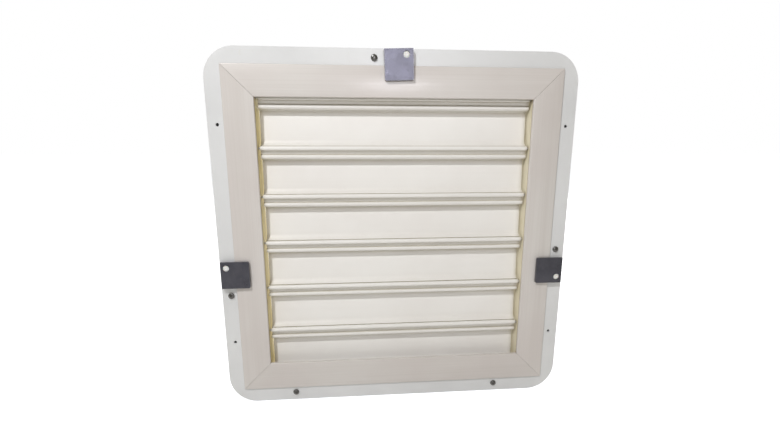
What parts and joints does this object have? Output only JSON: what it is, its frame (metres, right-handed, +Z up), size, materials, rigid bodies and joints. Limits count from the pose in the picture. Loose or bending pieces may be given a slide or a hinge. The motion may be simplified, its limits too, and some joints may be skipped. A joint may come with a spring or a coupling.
{
  "type": "roof vent cover",
  "caption": "Square louvred vent cover: a flange plate with a mitred rail frame, tie-bar-coupled louvre blades on pivot rods, and turn clips on the frame's edge.",
  "frame": {"origin": "centre of the cut-out, on the plane of the gasket's back face, which is the surface that the cover is screwed to", "axes": "+Z up with the cover upright as pictured, +X to the right, and the visible face looking along -Y"},
  "size_m": [0.47, 0.0674, 0.47],
  "materials": {
    "flange_white": "satin moulded white plastic",
    "gasket_foam": "closed-cell foam",
    "rail_beige": "satin warm beige-white paint with faint drawing lines",
    "aluminium": "mill finish",
    "strip_cream": "yellowed cream plastic",
    "blade_white": "satin white",
    "steel": "bright drawn rod",
    "nylon_white": "moulded nylon",
    "rivet_white": "white painted",
    "clip_grey": "dark grey satin plastic",
    "screw_black": "black coated steel"
  },
  "bodies": {
    "frame": {"bearing_strip_left": "strip_cream", "bearing_strip_right": "strip_cream", "clip_rivet_left": "rivet_white", "clip_rivet_right": "rivet_white", "clip_rivet_top": "rivet_white", "clip_spacer_left": "nylon_white", "clip_spacer_right": "nylon_white", "clip_spacer_top": "nylon_white", "corner_key_bottom_left": "aluminium", "corner_key_bottom_right": "aluminium", "corner_key_top_left": "aluminium", "corner_key_top_right": "aluminium", "flange_gasket": "gasket_foam", "flange_plate": "flange_white", "flange_screw_bottom_left": "screw_black", "flange_screw_bottom_right": "screw_black", "flange_screw_left": "screw_black", "flange_screw_right": "screw_black", "flange_screw_top": "screw_black", "frame_rail_bottom": "rail_beige", "frame_rail_left": "rail_beige", "frame_rail_right": "rail_beige", "frame_rail_top": "rail_beige", "head_strip": "blade_white", "sill_strip": "blade_white"},
    "blade_1": {"louvre_blade_1": "blade_white", "pivot_rod_1": "steel", "blade_crank_1": "nylon_white"},
    "blade_2": {"louvre_blade_2": "blade_white", "pivot_rod_2": "steel", "blade_crank_2": "nylon_white"},
    "blade_3": {"louvre_blade_3": "blade_white", "pivot_rod_3": "steel", "blade_crank_3": "nylon_white"},
    "blade_4": {"louvre_blade_4": "blade_white", "pivot_rod_4": "steel", "blade_crank_4": "nylon_white"},
    "blade_5": {"louvre_blade_5": "blade_white", "pivot_rod_5": "steel", "blade_crank_5": "nylon_white"},
    "blade_6": {"louvre_blade_6": "blade_white", "pivot_rod_6": "steel", "blade_crank_6": "nylon_white"},
    "tie_bar": {"tie_bar": "aluminium"},
    "clip_top": {"turn_clip_top": "clip_grey"},
    "clip_left": {"turn_clip_left": "clip_grey"},
    "clip_right": {"turn_clip_right": "clip_grey"}
  },
  "joints": [
    {"name": "blade_1_swing", "type": "hinge", "parent": "frame", "child": "blade_1", "pos_m": [0, 0.0023, 0.1772], "axis": [1, 0, 0], "range_deg": [0, 60]},
    {"name": "blade_2_swing", "type": "hinge", "parent": "frame", "child": "blade_2", "pos_m": [0, 0.0023, 0.1156], "axis": [1, 0, 0], "range_deg": [0, 60]},
    {"name": "blade_3_swing", "type": "hinge", "parent": "frame", "child": "blade_3", "pos_m": [0, 0.0023, 0.054], "axis": [1, 0, 0], "range_deg": [0, 60]},
    {"name": "blade_4_swing", "type": "hinge", "parent": "frame", "child": "blade_4", "pos_m": [0, 0.0023, -0.0076], "axis": [1, 0, 0], "range_deg": [0, 60]},
    {"name": "blade_5_swing", "type": "hinge", "parent": "frame", "child": "blade_5", "pos_m": [0, 0.0023, -0.0692], "axis": [1, 0, 0], "range_deg": [0, 60]},
    {"name": "blade_6_swing", "type": "hinge", "parent": "frame", "child": "blade_6", "pos_m": [0, 0.0023, -0.1308], "axis": [1, 0, 0], "range_deg": [0, 60]},
    {"name": "tie_bar_link", "type": "hinge", "parent": "blade_1", "child": "tie_bar", "pos_m": [0.1836, 0.01269, 0.1712], "axis": [1, 0, 0], "range_deg": [-60, 0]},
    {"name": "clip_top_turn", "type": "hinge", "parent": "frame", "child": "clip_top", "pos_m": [0.0104, -0.0109, 0.2276], "axis": [0, 1, 0], "range_deg": [0, 90]},
    {"name": "clip_left_turn", "type": "hinge", "parent": "frame", "child": "clip_left", "pos_m": [-0.2258, -0.0109, -0.0376], "axis": [0, 1, 0], "range_deg": [0, 90]},
    {"name": "clip_right_turn", "type": "hinge", "parent": "frame", "child": "clip_right", "pos_m": [0.2248, -0.0109, -0.0598], "axis": [0, 1, 0], "range_deg": [0, 90]}
  ],
  "couplings": [
    {"joint": "blade_2_swing", "follows": "blade_1_swing", "ratio": 1},
    {"joint": "blade_3_swing", "follows": "blade_1_swing", "ratio": 1},
    {"joint": "blade_4_swing", "follows": "blade_1_swing", "ratio": 1},
    {"joint": "blade_5_swing", "follows": "blade_1_swing", "ratio": 1},
    {"joint": "blade_6_swing", "follows": "blade_1_swing", "ratio": 1},
    {"joint": "tie_bar_link", "follows": "blade_1_swing", "ratio": -1}
  ]
}
